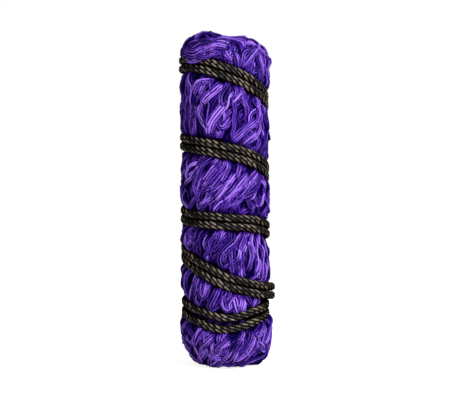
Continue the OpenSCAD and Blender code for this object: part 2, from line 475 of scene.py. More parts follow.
def lean_at(a, v):
    """The twines' lean at angles a and ways v, smooth round the roll."""
    columns = np.array(LAY_ANGLES + (LAY_ANGLES[0] + TURN,))
    wrapped = np.mod(a + HALF_TURN, TURN) - HALF_TURN
    heights = [height for height, _ in LAY_ROWS]
    rows = np.array([np.interp(wrapped, columns, row + row[:1]) for _, row in LAY_ROWS])
    place_in = np.interp(height_of(v), heights, np.arange(len(heights)))
    i = np.minimum(np.floor(place_in).astype(int), len(heights) - 2)
    f = place_in - i
    at = np.arange(len(wrapped))
    return rows[i, at] * (1 - f) + rows[i + 1, at] * f


def trace(seed_a, seed_v, turn_by, swing, low, high, step):
    """Follows the lay both ways from the seeds, until each twine is under the cord at its ends.
    low and high give the way at which a twine ends, at its angle. turn_by is each twine's own
    extra lean, and swing how far it sways to and fro on its way, in degrees.
    Returns one (a, v) pair of arrays for each twine, from its low end up."""
    halves = []
    for sign in (-1, 1):
        a, v = seed_a.copy(), seed_v.copy()
        going = np.ones(len(a), bool)
        rows = []
        for _ in range(MOST_RINGS):
            sway = swing * np.sin(math.tau * (v - seed_v) / SWAY_LENGTH + seed_a)
            lean = np.radians(np.clip(lean_at(a, v) + turn_by + sway, -MOST_LEAN, MOST_LEAN))
            girth = skin_frame(a, v)[2]
            a = np.where(going, a + sign * step * np.sin(lean) / girth, a)
            v = np.where(going, v + sign * step * np.cos(lean), v)
            rows.append((a, v, going))
            going = going & (v > low(a) if sign < 0 else v < high(a)) & (v > SEAM_CLEAR)
            if not going.any():
                break
        halves.append(rows)
    twines = []
    for n in range(len(seed_a)):
        down, up = ([(a[n], v[n]) for a, v, going in rows if going[n]] for rows in halves)
        path = np.array(down[::-1] + [(seed_a[n], seed_v[n])] + up)
        twines.append((path[:, 0], path[:, 1]))
    return twines


# ------------------------ laying the twines

# The groups of yarns that aren't a turn of the ribbon, which are 1 to 4
TOP_GROUP = 0
OVER_CORD = 5
FOOT_GROUP = 6
# By layer, from the deepest: the yarns that a twine may have, how proud it lies, its spacing
YARNS_IN_LAYER = ((3, 3), (2, 2, 3), (1, 2, 2, 3))
PROUD_OF_LAYER = (-0.0037, -0.0018, 0.0004)
SPACING_OF_LAYER = (1.0, 0.9, 1.25)
# Clusters of parallel twines: how many, their own lean, their spacing, and the gaps between
CLUSTER = (1, 4)
CLUSTER_LEAN = 3
CLUSTER_SPACING = (0.8, 1.1)
CLUSTER_GAPS = (0, 0.3, 0.7)
# Where the twines start and end, from the cord, the top fold's edge, the valley and the seam
LEAST_RIBBON = 0.019
CORD_OVERLAP = 0.001
TOP_START = 0.012
EDGE_START = 0.004
VALLEY_END = 0.003
FOOT_START = 0.02
FOOT_END = 0.002
# A twine's half thickness in yarns, the way in which it turns over, and how its yarns arch
HALF_THICK = 0.68
TURNED_AT = (0.2, 0.8)
TURN_OVER = 0.016
ARCH_TOP = 0.3
ARCH_FALL = 2.4
FLATTENED = 0.45
TUCK_LENGTH = 0.008
TUBE_ENDS = (0.5, 1, 1, 0.5)
TONE = 0.8
# How a twine and its yarns waver: the way between two bends, and how far it goes
UNEVEN_LENGTH = 0.02
ROLLING = (0.02, 0.35)
WIDENING = (0.012, 0.12)
ASIDE = (0.009, 0.0003)
LIFTED = (0.007, 0.0004)
THICKENING = (0.007, 0.1)
BENDS = ((0.018, 0.0012), (0.010, 0.0011))
# Twines laid through given points: how uneven they are, and how deep their ends tuck under
PLACED_UNEVEN = 0.0003
PLACED_TUCK = 0.0045
PLACED_FINE = 24
# Random spots: from where round the roll they are the foot's, its margin, the top's room
FOOT_FROM = CROSSING_A + 40
FOOT_MARGIN = 0.004
TOP_ROOM = 0.05
# Loops, strays and bridges: ranges, or a mean and a scatter, of their places and sizes
LOOP_ROOM = 0.024
LOOP_FOOT = 0.006
LOOP_CLIMB = (0, 0.6)
LOOP_SPARE = 0.02
LOOP_LEAN = (8, 14)
LOOP_HALF = (3.2, 5.4)
LOOP_TALL = (0.007, 0.014)
LOOP_CURVE = 0.003
LOOP_PROUD = 0.0006
STRAY_ROOM = 0.02
STRAY_MARGIN = 0.008
STRAY_LEAN = (0, 22)
STRAY_HALF = (0.009, 0.014)
STRAY_BEND = (0, 0.0015)
STRAY_YARNS = (2, 4)
STRAY_PROUD = 0.0007
BRIDGE_A = (30, 150)
BRIDGE_SKEW = (0, 5)
BRIDGE_HALF = (0.011, 0.02)
BRIDGE_SUNK = 0.001
BRIDGE_TUCK = 0.0035
BRIDGE_SMOOTH = 4
BRIDGE_YARNS = 3
# Painted shade on the twines that bridge the valley
BRIDGE_PAINTED_SHADE = 0.15


class Weaver:
    """Lays twines on the pile and keeps their yarns as lines of points."""

    def __init__(self, sizes):
        self.rng = np.random.default_rng(sizes.seed)
        self.sizes = sizes
        self.pile = Pile(self.rng, sizes.pile_depth)
        self.yarns = []

    def waver(self, count, spacing, size=1.0):
        """A smooth random curve along a twine of count rings."""
        return wobble(self.rng, count, self.sizes.step, spacing, size)

    def near_end(self, count):
        """1 at both ends of a twine of count rings, and 0 past the length of its tuck."""
        ring = np.arange(count)
        way = np.minimum(ring, ring[::-1]) * self.sizes.step
        return np.clip(1 - way / TUCK_LENGTH, 0, 1)

    def twine(self, a, v, yarns, proud, group, uneven=0.0008, tuck=0.0, over=False):
        """Lays one flat twine along angles a and ways v, with its top at most proud of the
        limit, and adds its yarns. Its ends tuck under by a depth tuck. A twine that goes over
        may lie on the cord."""
        s = self.sizes
        count = len(a)
        if count < LEAST_RINGS:
            return
        half_w = s.yarn_pitch * yarns / 2
        half_t = s.yarn_d * HALF_THICK
        skin_s, n, girth = skin_frame(a, v)
        d_a, d_v = np.gradient(a) * girth, np.gradient(v)
        size = np.hypot(d_a, d_v) + 1e-9
        side_a, side_v = d_v / size / girth, -d_a / size
        proud = proud + uneven * self.waver(count, UNEVEN_LENGTH)
        proud = proud - tuck * self.near_end(count) ** 2
        limit = self.pile.read(self.pile.limit, a, v)
        if over:
            h = proud - half_t
        else:
            h = self.pile.rest(a, v, side_a, side_v, half_w, half_t, proud, s.bridging)
        self.pile.lay(a, v, side_a, side_v, h, half_w, half_t)
        # Painted shade: twines deep in the pile and in the cord's grooves are darkened
        deep = np.clip((limit - h - half_t) / s.pile_depth, 0, 1)
        groove = np.clip(-limit / GROOVE, 0, 1)
        self.spin(skin_s + n * h[:, None], n, yarns, group,
                  deep * s.deep_painted_shade + (0 if over else groove * s.groove_painted_shade))

    def spin(self, centre, n, yarns, group, painted_shade_and_wear):
        """Adds the yarns of one twine, side by side along its middle line."""
        s, rng = self.sizes, self.rng
        count = len(centre)
        ahead = unit(np.gradient(centre, axis=0))
        across = unit(np.cross(ahead, n))
        up = np.cross(across, ahead)
        way = way_along(centre)
        # The yarns lie side by side, and some twines turn over once on their way
        roll = self.waver(count, *ROLLING)
        if rng.random() < s.turned_over:
            at = rng.uniform(*TURNED_AT) * way[-1]
            roll = roll + math.pi * np.clip((way - at) / TURN_OVER + 0.5, 0, 1)
        loose = 1 + self.waver(count, *WIDENING)
        tone = rng.normal(0, TONE)
        shared = {"way": way, "group": group, "out": n, "painted_shade_and_wear": painted_shade_and_wear, "even": s.evenness,
                  "centre": centre, "across": across, "half": s.yarn_pitch * yarns / 2}
        for k in range(yarns):
            from_middle = (k - (yarns - 1) / 2) / yarns
            flat = from_middle * yarns * s.yarn_pitch * loose
            arch = s.yarn_d * (ARCH_TOP - ARCH_FALL * from_middle ** 2)
            side = flat * np.cos(roll) - arch * np.sin(roll)
            lift = flat * np.sin(roll) * FLATTENED + arch * np.cos(roll)
            side = side + self.waver(count, *ASIDE)
            lift = lift + self.waver(count, *LIFTED)
            radius = s.yarn_d / 2 * (1 + self.waver(count, *THICKENING))
            ends = [0, 1, count - 2, count - 1]
            radius = radius * np.interp(np.arange(count), ends, TUBE_ENDS)
            line = centre + across * side[:, None] + up * lift[:, None]
            line[:, 2] = np.maximum(line[:, 2], radius)
            self.yarns.append(shared | {
                "line": line, "radius": radius, "shade": tone + rng.normal(0, TONE),
                "turn": rng.choice((-1, 1))})

    def placed(self, group, yarns, proud, points, over=False):
        """Lays a twine smoothly through points of angle and height."""
        points = np.array(points, float)
        a, v = points[:, 0], way_to(points[:, 1])
        girth = skin_frame(a, v)[2].mean()
        t = np.linspace(0, len(points) - 1.0001, PLACED_FINE * len(points))
        x, y = smooth_through(a * girth, t), smooth_through(v, t)
        gone = running(np.hypot(np.diff(x), np.diff(y)))
        even = np.linspace(0, gone[-1], max(6, int(gone[-1] / self.sizes.step)))
        x, y = np.interp(even, gone, x), np.interp(even, gone, y)
        self.twine(x / girth, y, yarns, proud, group, PLACED_UNEVEN, PLACED_TUCK, over)

    def bridges(self, count):
        """Twines that run over the valley between the two lobes at the top."""
        rng = self.rng
        for right_a in rng.uniform(*BRIDGE_A, count):
            halves = []
            for a in (-right_a + rng.normal(*BRIDGE_SKEW), right_a):
                end = TOP_V + top_length(np.array([a]))[0] - SLOPE_V
                v = np.arange(end - rng.uniform(*BRIDGE_HALF), end, self.sizes.step)
                halves.append(skin_frame(np.full(len(v), a), v)[:2])
            line, n = [np.concatenate([left, right[::-1]]) for left, right in zip(*halves)]
            sunk = BRIDGE_SUNK + BRIDGE_TUCK * self.near_end(len(line))
            line = line - n * sunk[:, None]
            for _ in range(BRIDGE_SMOOTH):
                line[1:-1] = (line[:-2] + 2 * line[1:-1] + line[2:]) / 4
            # The bridges lie in the valley and are painted in shade
            painted_shade_and_wear = np.full(len(line), BRIDGE_PAINTED_SHADE)
            self.spin(line, unit(n), BRIDGE_YARNS, TOP_GROUP, painted_shade_and_wear)

    def spot(self):
        """A random spot of the netting: its group, angle, lowest height and room above it."""
        turn_a = self.rng.uniform(EMERGE_A, CROSSING_A + TURN)
        group = int((turn_a - EMERGE_A) // TURN)
        low = along(TURN_Z, turn_a)
        high = along(TURN_Z, turn_a - TURN) if group else low + TOP_ROOM
        if turn_a > FOOT_FROM:
            group, low, high = FOOT_GROUP, FOOT_MARGIN, low - FOOT_MARGIN
        return group, turn_a, low, high - low

    def loops(self, count):
        """Small loops that stand out of the pile all round, with their open ends up."""
        rng = self.rng
        for _ in range(count):
            group, turn_a, low, room = self.spot()
            if room < LOOP_ROOM:
                continue
            foot = low + LOOP_FOOT + rng.uniform(*LOOP_CLIMB) * (room - LOOP_SPARE)
            lean = rng.normal(*LOOP_LEAN)
            half, tall = rng.uniform(*LOOP_HALF), rng.uniform(*LOOP_TALL)
            shift = math.degrees(tall * math.tan(math.radians(lean)) / ROLL_R)
            left, right = turn_a - half, turn_a + half
            self.placed(group, 2, LOOP_PROUD, (
                (left + shift, foot + tall), (left, foot + LOOP_CURVE), (turn_a, foot),
                (right, foot + LOOP_CURVE), (right + shift, foot + tall)))

    def strays(self, count):
        """Short lengths of twine that come up out of the pile and go down into it again."""
        rng = self.rng
        for _ in range(count):
            group, turn_a, low, room = self.spot()
            if room < STRAY_ROOM:
                continue
            middle = low + STRAY_MARGIN + rng.uniform(0, 1) * (room - 2 * STRAY_MARGIN)
            at, v = np.array([turn_a]), way_to(np.array([middle]))
            lean = math.radians(lean_at(at, v)[0] + rng.normal(*STRAY_LEAN))
            half = rng.uniform(*STRAY_HALF)
            bend = rng.normal(*STRAY_BEND)
            points = []
            for t in (-1, -0.35, 0.35, 1):
                off = bend * (1 - t * t)
                x = half * t * math.sin(lean) + off * math.cos(lean)
                points.append((turn_a + math.degrees(x / ROLL_R),
                               middle + half * t * math.cos(lean) - off * math.sin(lean)))
            self.placed(group, int(rng.integers(*STRAY_YARNS)), STRAY_PROUD, points)

    def bundles(self):
        """The bundles, hooks and loops of twine that lie on top of the pile."""
        for group, found in BUNDLES.items():
            for yarns, proud, *points in found:
                points = [(a, mm / 1000) for a, mm in zip(points[::2], points[1::2])]
                self.placed(group, yarns, proud / 1000, points, group == OVER_CORD)

    def mesh_bend(self, a, v, parity):
        """Neighbouring twines bend to and from each other, as the net's flattened meshes do."""
        s = self.sizes
        count = len(a)
        if count < LEAST_RINGS:
            return a, v
        girth = skin_frame(a, v)[2]
        wave = np.cos(math.pi * v / s.mesh_half + math.pi * (parity % 2))
        bend = s.mesh_bend * wave
        for waver in BENDS:
            bend = bend + self.waver(count, *waver)
        return a + bend / girth, v

    def seeds(self, start, end, layer):
        """Angles at which twines begin, with their own lean and yarns, in parallel clusters."""
        s, rng = self.sizes, self.rng
        spacing = s.twine_spacing * SPACING_OF_LAYER[layer] / ROLL_R / math.radians(1)
        found = []
        a = start + rng.uniform(0, spacing)
        while a < end:
            lean = rng.normal(0, s.lean_scatter)
            for _ in range(rng.integers(*CLUSTER)):
                found.append((a, lean + rng.normal(0, CLUSTER_LEAN),
                              rng.choice(YARNS_IN_LAYER[layer])))
                a += spacing * rng.uniform(*CLUSTER_SPACING)
            a += spacing * rng.choice(CLUSTER_GAPS) * (layer > 0)
        columns = np.array(found)
        return columns[:, 0], columns[:, 1], columns[:, 2].astype(int)

    def weave(self, layer, seeds, seed_v, groups, low, high):
        """Traces a layer's twines from their seeds, and lays them in a mixed order."""
        seed_a, lean, yarns = seeds
        swing = self.rng.normal(0, self.sizes.sway, len(seed_a))
        twines = trace(seed_a, seed_v, lean, swing, low, high, self.sizes.step)
        for n in self.rng.permutation(len(twines)):
            a, v = self.mesh_bend(*twines[n], n)
            self.twine(a, v, yarns[n], PROUD_OF_LAYER[layer], groups[n])

    def ribbon(self, layer):
        """One layer of twines in the long ribbon of netting between the turns of cord."""
        seeds = self.seeds(EMERGE_A + TURN, CROSSING_A + TURN - 5, layer)
        low_z, high_z = along(TURN_Z, seeds[0]), along(TURN_Z, seeds[0] - TURN)
        wide = high_z - low_z > LEAST_RIBBON
        seeds = [column[wide] for column in seeds]
        groups = ((seeds[0] - EMERGE_A) // TURN).astype(int)
        self.weave(layer, seeds, v_of_height((low_z + high_z)[wide] / 2), groups,
                   lambda at: way_beside(at, CORD_OVERLAP),
                   lambda at: way_beside(at - TURN, -CORD_OVERLAP))

    def top(self, layer):
        """One layer of twines from the first turn of cord up over the top folds."""
        seeds = self.seeds(EMERGE_A, EMERGE_A + TURN, layer)
        seed_v = np.maximum(way_beside(seeds[0], 0) + TOP_START, TOP_V - EDGE_START)
        self.weave(layer, seeds, seed_v, np.full(len(seed_v), TOP_GROUP),
                   lambda at: way_beside(at, CORD_OVERLAP),
                   lambda at: TOP_V + top_length(at) - VALLEY_END)

    def foot(self, layer):
        """One layer of twines from the lowest turn of cord down round the foot."""
        last_turn = CROSSING_A, CROSSING_A + TURN
        seeds = self.seeds(*last_turn, layer)
        seed_v = way_beside(seeds[0], -FOOT_START, *last_turn)
        self.weave(layer, seeds, seed_v, np.full(len(seed_v), FOOT_GROUP),
                   lambda at: np.full_like(at, FOOT_END),
                   lambda at: way_beside(at, -CORD_OVERLAP, *last_turn))


# The bundles that lie on top, by piece: how many yarns, how far proud in mm, and then the
# points that they run through, each an angle in degrees and a height in mm
BUNDLES = {
    TOP_GROUP: (
        (4, 0.8, -66, 293, -48, 301, -30, 309, -12, 316),
        (3, 1.0, -42, 285, -26, 296, -12, 305, 0, 313),
        (3, 0.8, -26, 283, -12, 292, 3, 300, 12, 310),
        (4, 0.8, 15, 279, 10, 291, 3, 303, -6, 312),
        (3, 1.0, 22, 276, 17, 289, 13, 303, 10, 314),
        (4, 1.2, 24, 279, 34, 290, 48, 300, 62, 306),
        (3, 1.0, 26, 312, 44, 306, 62, 297, 72, 278),
        (3, 0.8, 30, 300, 46, 295, 56, 284, 60, 266),
        (2, 1.4, -70, 316, -56, 320, -40, 318, -30, 312),
        (3, 1.6, 74, 264, 80, 275, 84, 286, 82, 299),
        (3, 1.4, 92, 263, 90, 273, 92, 285, 96, 298),
        (2, 2.8, 86, 269, 88, 278, 86, 289, 78, 300),
        (2, 1.4, -8, 316, 0, 319, 9, 315, 6, 308)),
    1: (
        (4, 0.8, -38, 233, -28, 247, -15, 257, 0, 266),
        (4, 1.2, -24, 216, -17, 229, -6, 240, 8, 250, 20, 256),
        (3, 0.6, -36, 248, -31, 233, -22, 217),
        (4, 1.0, 8, 211, 22, 219, 36, 227, 50, 234),
        (3, 0.8, 22, 207, 38, 216, 54, 224),
        (3, 0.8, -60, 248, -47, 261, -30, 267, -12, 267),
        (3, 0.6, -66, 218, -62, 240, -54, 258),
        (3, 0.6, -54, 214, -49, 235, -40, 252),
        (3, 1.0, 42, 222, 50, 240, 44, 254),
        (2, 0.8, 31, 248, 19, 266),
        (2, 1.0, -12, 213, 0, 224, 10, 235)),
    2: (
        (3, 0.8, -38, 163, -24, 177, -8, 191),
        (4, 1.0, -27, 159, -12, 172, 4, 187),
        (3, 0.8, -16, 155, -2, 167, 15, 183),
        (4, 1.0, -4, 152, 12, 166, 33, 183),
        (3, 0.8, 6, 148, 24, 161, 48, 180),
        (2, 1.6, -46, 178, -41, 165, -35, 154, -27, 152, -23, 160),
        (2, 1.0, -58, 174, -52, 188, -36, 193),
        (3, 1.0, 58, 178, 66, 166, 54, 150),
        (2, 1.0, 29, 160, 35, 150, 43, 158)),
    3: (
        (3, 0.8, -25, 101, -18, 116, -8, 129),
        (3, 1.4, 8, 115, 9, 96, 14, 88, 19, 94, 21, 113),
        (3, 0.6, 42, 87, 45, 105, 46, 124),
        (3, 0.8, 57, 83, 58, 101, 56, 118),
        (3, 0.6, 31, 89, 34, 107, 35, 123),
        (2, 0.8, -58, 95, -51, 109, -44, 123)),
    4: (
        (3, 1.0, -36, 84, -34, 72, -29, 68, -25, 73, -24, 84),
        (3, 0.8, -50, 64, -43, 77, -36, 88),
        (3, 1.0, -4, 73, -5, 64, -1, 57, 5, 58, 7, 66),
        (4, 1.2, -8, 79, -12, 69, -18, 61, -18, 56, -13, 57),
        (4, 1.4, 10, 69, 13, 60, 17, 54, 21, 60, 23, 68),
        (3, 1.0, 28, 62, 33, 70, 40, 66)),
    OVER_CORD: (
        (4, 0.8, -66, 301, -56, 297, -46, 294, -36, 294, -26, 299),
        (3, 0.9, -64, 297, -56, 291, -47, 288, -37, 288, -28, 290, -20, 296),
        (2, 1.2, -40, 294, -32, 290, -23, 289, -14, 291, -7, 297)),
    FOOT_GROUP: (
        (3, 1.0, -7, 35, -9, 29, -9, 23),
        (3, 1.2, 56, 40, 52, 34, 46, 27),
        (3, 1.2, -30, 18, -22, 13, -10, 10, 2, 9),
        (3, 1.2, -62, 46, -54, 38, -49, 31, -54, 25),
        (4, 1.4, -27, 33, -35, 29, -44, 23, -56, 20),
        (4, 1.4, 80, 46, 78, 37, 66, 28, 58, 20),
        (5, 1.6, 6, 29, -4, 24, -13, 19, -22, 13),
        (4, 1.6, 20, 34, 18, 27, 12, 19, 4, 12),
        (4, 1.6, 45, 26, 54, 19, 66, 13),
        (5, 2.0, 38, 35, 34, 28, 29, 21, 20, 14, 8, 9),
        (2, 2.2, -16, 31, -23, 25, -32, 20, -40, 14),
        (2, 2.2, 74, 16, 50, 9, 34, 6, 18, 3)),
}


# ------------------------ making meshes of lines

# The way in which a filament goes once round its yarn, and how the painted light fades into
# painted shade: where it is full on a yarn, and how wide it is over the twine
FIBRE_TURN = 0.011
PAINTED_LIGHT_FULL = 0.9
PAINTED_LIGHT_WIDE = 1.15


def put_in(name, data):
    """A new object in the scene."""
    made = bpy.data.objects.new(name, data)
    bpy.context.scene.collection.objects.link(made)
    return made


def tube_mesh(name, lines, sides):
    """A mesh of one round tube for each line. Its attributes are the fibre's place on the yarn,
    the yarn's own shade, and the painted light: 1 on the outer side of an outer yarn, and towards
    0 as painted shade on its flanks, at its twine's edges and deep in the pile."""
    curve = bpy.data.curves.new(name, "CURVE")
    curve.dimensions = "3D"
    curve.bevel_depth = 1.0
    curve.bevel_resolution = (sides - 4) // 2
    for line in lines:
        points = line["line"]
        spline = curve.splines.new("POLY")
        spline.points.add(len(points) - 1)
        flat = np.ones((len(points), 4), np.float32)
        flat[:, :3] = points
        spline.points.foreach_set("co", flat.ravel())
        spline.points.foreach_set("radius", np.asarray(line["radius"], np.float32))
    holder = put_in(name, curve)
    graph = bpy.context.evaluated_depsgraph_get()
    mesh = bpy.data.meshes.new_from_object(holder.evaluated_get(graph))
    bpy.data.objects.remove(holder)
    bpy.data.curves.remove(curve)
    counts = [len(line["line"]) for line in lines]
    if len(mesh.vertices) != sides * sum(counts):
        raise RuntimeError(f"{name}: {len(mesh.vertices)} vertices for {sum(counts)} rings")

    def by_ring(key):
        return np.repeat(np.concatenate([line[key] for line in lines]), sides, axis=0)

    def by_line(key):
        values = [np.full(count, line[key]) for count, line in zip(counts, lines)]
        return np.repeat(np.concatenate(values), sides)

    co = np.empty(len(mesh.vertices) * 3, np.float32)
    mesh.vertices.foreach_get("co", co)
    co = co.reshape(-1, 3)
    # Painted light and shade: each yarn is lit on its outer side and shaded on its flanks and at
    # its twine's edges
    facing = np.sum(unit(co - by_ring("line")) * by_ring("out"), axis=1)
    aside = np.sum((co - by_ring("centre")) * by_ring("across"), axis=1) / by_line("half")
    # Each ring's painted shade, and on the cord its wear, take from the painted light
    even, painted_shade_and_wear = by_line("even"), by_ring("painted_shade_and_wear")
    relief = np.clip((facing + even) / (PAINTED_LIGHT_FULL + even), 0, 1) * (1 - np.clip(painted_shade_and_wear, 0, 1))
    relief = relief * np.clip(PAINTED_LIGHT_WIDE - aside ** 2, 0, 1)
    way, shade = by_ring("way"), by_line("shade")
    around = np.tile(np.arange(sides) / sides * math.tau, sum(counts))
    around = around + by_line("turn") * way / FIBRE_TURN * math.tau
    fibre = np.stack([np.cos(around), np.sin(around), way * 100 + shade * 7], axis=1)
    for label, kind, field, values in (("fibre", "FLOAT_VECTOR", "vector", fibre),
                                       ("shade", "FLOAT", "value", shade),
                                       ("relief", "FLOAT", "value", relief)):
        attribute = mesh.attributes.new(label, kind, "POINT")
        attribute.data.foreach_set(field, values.astype(np.float32).ravel())
    build = bmesh.new()
    build.from_mesh(mesh)
    ends = [edge for edge in build.edges if edge.is_boundary]
    bmesh.ops.holes_fill(build, edges=ends, sides=sides)
    for face in build.faces:
        face.smooth = True
    build.to_mesh(mesh)
    build.free()
    return mesh


def finish_piece(name, mesh, material):
    mesh.name = name
    mesh.materials.clear()
    mesh.materials.append(material)
    piece = put_in(name, mesh)
    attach(piece, "root")
    return piece


# ------------------------ finishes, with painted light and shade

def feed(tree, node, inputs):
    """Gives each named input of a node its value, or links it to the output given."""
    for label, value in inputs.items():
        if isinstance(value, bpy.types.NodeSocket):
            tree.links.new(value, node.inputs[label])
        else:
            node.inputs[label].default_value = value


def add(tree, kind, inputs, **settings):
    """The outputs of a new shader node with these settings and inputs."""
    node = tree.nodes.new("ShaderNode" + kind)
    for label, value in settings.items():
        setattr(node, label, value)
    feed(tree, node, inputs)
    return node.outputs


def add_ramp(tree, value, stops):
    """The colour of a new ramp through stops of a position and a colour."""
    node = tree.nodes.new("ShaderNodeValToRGB")
    for _ in range(len(stops) - 2):
        node.color_ramp.elements.new(0.5)
    for element, (position, tone) in zip(node.color_ramp.elements, stops):
        element.position = position
        element.color = (*tone, 1)
    feed(tree, node, {"Fac": value})
    return node.outputs["Color"]


def blank_material(name):
    """A new material with an empty node tree."""
    material = bpy.data.materials.new(name)
    material.use_nodes = True
    material.node_tree.nodes.clear()
    return material


def fibre_group():
    """Filaments along a yarn: fine streaks that wind slowly round it, and a soft mottle."""
    name = "Filaments"
    if name in bpy.data.node_groups:
        return bpy.data.node_groups[name]
    group = bpy.data.node_groups.new(name, "ShaderNodeTree")
    face = group.interface
    face.new_socket("Fibre", in_out="INPUT", socket_type="NodeSocketVector")
    for label, value in (("Streaks", 3.0), ("Length", 1.5)):
        socket = face.new_socket(label, in_out="INPUT", socket_type="NodeSocketFloat")
        socket.default_value = value
    for label in ("Streak", "Mottle"):
        face.new_socket(label, in_out="OUTPUT", socket_type="NodeSocketFloat")
    given = group.nodes.new("NodeGroupInput").outputs
    stretch = add(group, "CombineXYZ", {"X": given["Streaks"], "Y": given["Streaks"],
                                        "Z": given["Length"]})
    scaled = add(group, "VectorMath", {0: given["Fibre"], 1: stretch[0]}, operation="MULTIPLY")
    fine = add(group, "TexNoise", {"Vector": scaled[0], "Scale": 1.0, "Roughness": 0.6,
                                   "Detail": 3.0})
    coarse = add(group, "TexNoise", {"Vector": given["Fibre"], "Scale": 0.9})
    out = group.nodes.new("NodeGroupOutput")
    feed(group, out, {"Streak": fine["Fac"], "Mottle": coarse["Fac"]})
    return group


def twine_material(name, tones, roughness, flank, streaks, grain, contrast, bump, sheen):
    """Glossy multifilament yarn: streaked along its filaments, each yarn of its own shade.
    tones are lit and shaded copies of its colour: painted shade deep down and on its flanks, and
    its colour with painted light on its outer side; flank is the painted light at which the
    flanks' colour stands. Streaks is how many streaks lie side by side, grain how short they are
    and contrast how strong. Sheen is the colour of its highlights."""
    material = blank_material(name)
    tree = material.node_tree
    fibre, shade, relief = (add(tree, "Attribute", {}, attribute_name=label)
                            for label in ("fibre", "shade", "relief"))
    filaments = add(tree, "Group", {"Fibre": fibre["Vector"], "Streaks": streaks,
                                    "Length": grain}, node_tree=fibre_group())
    # Streaks and the yarn's own shade push the painted light up or down
    own = add(tree, "Math", {0: shade["Fac"], 1: 0.12, 2: filaments["Streak"]},
              operation="MULTIPLY_ADD")
    gain = add(tree, "MapRange", {"Value": own[0], "From Min": 0.25, "From Max": 0.75,
                                  "To Min": 1 - contrast, "To Max": 1 + 0.7 * contrast},
               clamp=False)
    lit = add(tree, "Math", {0: relief["Fac"], 1: gain["Result"]}, operation="MULTIPLY")
    # Lit and shaded copies of one colour: painted shade deep down and on the flanks, painted
    # light on the outer side
    colour_in = add_ramp(tree, lit[0], tuple(zip((0.12, flank, 1.0), tones)))
    # Painted shade: the rim of a yarn, seen at a glance, is darkened towards the deep shade
    rim = add(tree, "LayerWeight", {"Blend": 0.3})
    edge = add(tree, "Mix", {"Factor": rim["Facing"], "A": colour_in, "B": (*tones[0], 1)},
               data_type="RGBA")
    rough = add(tree, "MapRange", {"Value": filaments["Mottle"], "To Min": roughness - 0.1,
                                   "To Max": roughness + 0.15})
    # Only the outer side of a yarn is glossy, and less so towards its rim
    gloss = add(tree, "MapRange", {"Value": rim["Facing"], "From Max": 0.45, "To Min": 0.8,
                                   "To Max": 0.0})
    outer = add(tree, "Math", {0: gloss["Result"], 1: relief["Fac"]}, operation="MULTIPLY")
    raised = add(tree, "Bump", {"Height": filaments["Streak"], "Strength": bump,
                                "Distance": 0.0003})
    shader = add(tree, "BsdfPrincipled", {
        "Base Color": edge["Result"], "Roughness": rough["Result"],
        "Specular IOR Level": outer[0], "Specular Tint": (*sheen, 1),
        "Normal": raised["Normal"]})
    add(tree, "OutputMaterial", {"Surface": shader["BSDF"]})
    return material


def painted_shade_core_material(name, tone):
    """Netting deep in the roll, painted near black as shade: faint upright strands in the given
    colour.
    """
    material = blank_material(name)
    tree = material.node_tree
    place_in = add(tree, "TexCoord", {})
    stretch = add(tree, "VectorMath", {0: place_in["Object"], 1: (320, 320, 60)},
                  operation="MULTIPLY")
    strands = add(tree, "TexNoise", {"Vector": stretch[0], "Scale": 1.0})
    colour_in = add_ramp(tree, strands["Fac"], [
        (position, [gain * part for part in tone])
        for position, gain in ((0.4, 0.4), (0.65, 2.0))])
    raised = add(tree, "Bump", {"Height": strands["Fac"], "Distance": 0.001})
    shader = add(tree, "BsdfPrincipled", {"Base Color": colour_in, "Roughness": 0.8,
                                          "Normal": raised["Normal"]})
    add(tree, "OutputMaterial", {"Surface": shader["BSDF"]})
    return material


def floor_material(name):
    """Pale floor that shows white to the camera and keeps the roll's soft shadow."""
    material = blank_material(name)
    tree = material.node_tree
    pale = add(tree, "BsdfDiffuse", {"Color": (0.8, 0.8, 0.8, 1)})
    seen = add(tree, "LightPath", {})
    lift = add(tree, "Math", {0: seen["Is Camera Ray"], 1: 0.82}, operation="MULTIPLY")
    glow = add(tree, "Emission", {"Strength": lift[0]})
    both = add(tree, "AddShader", {0: pale[0], 1: glow[0]})
    add(tree, "OutputMaterial", {"Surface": both[0]})
    return material


def studio_world(name, ambient):
    """A plain soft light from all round, which the camera sees as white."""
    world = bpy.data.worlds.new(name)
    world.use_nodes = True
    tree = world.node_tree
    tree.nodes.clear()
    soft, white = (add(tree, "Background", {"Color": (1, 1, 1, 1), "Strength": strength})
                   for strength in (ambient, 1.0))
    seen = add(tree, "LightPath", {})
    mix = add(tree, "MixShader", {"Fac": seen["Is Camera Ray"], 1: soft[0], 2: white[0]})
    add(tree, "OutputWorld", {"Surface": mix[0]})
    return world


# ------------------------ what a user may change

def number(name, text, default, **more):
    return bpy.props.FloatProperty(name=name, description=text, default=default, **more)


def whole(name, text, default, **more):
    return bpy.props.IntProperty(name=name, description=text, default=default, **more)


def length(name, text, default, low, high):
    return number(name, text, default, min=low, max=high, subtype="DISTANCE", unit="LENGTH",
                  precision=4)


def colour(name, text, default):
    return bpy.props.FloatVectorProperty(name=name, description=text, default=default, size=3,
                                         min=0, max=1, subtype="COLOR")


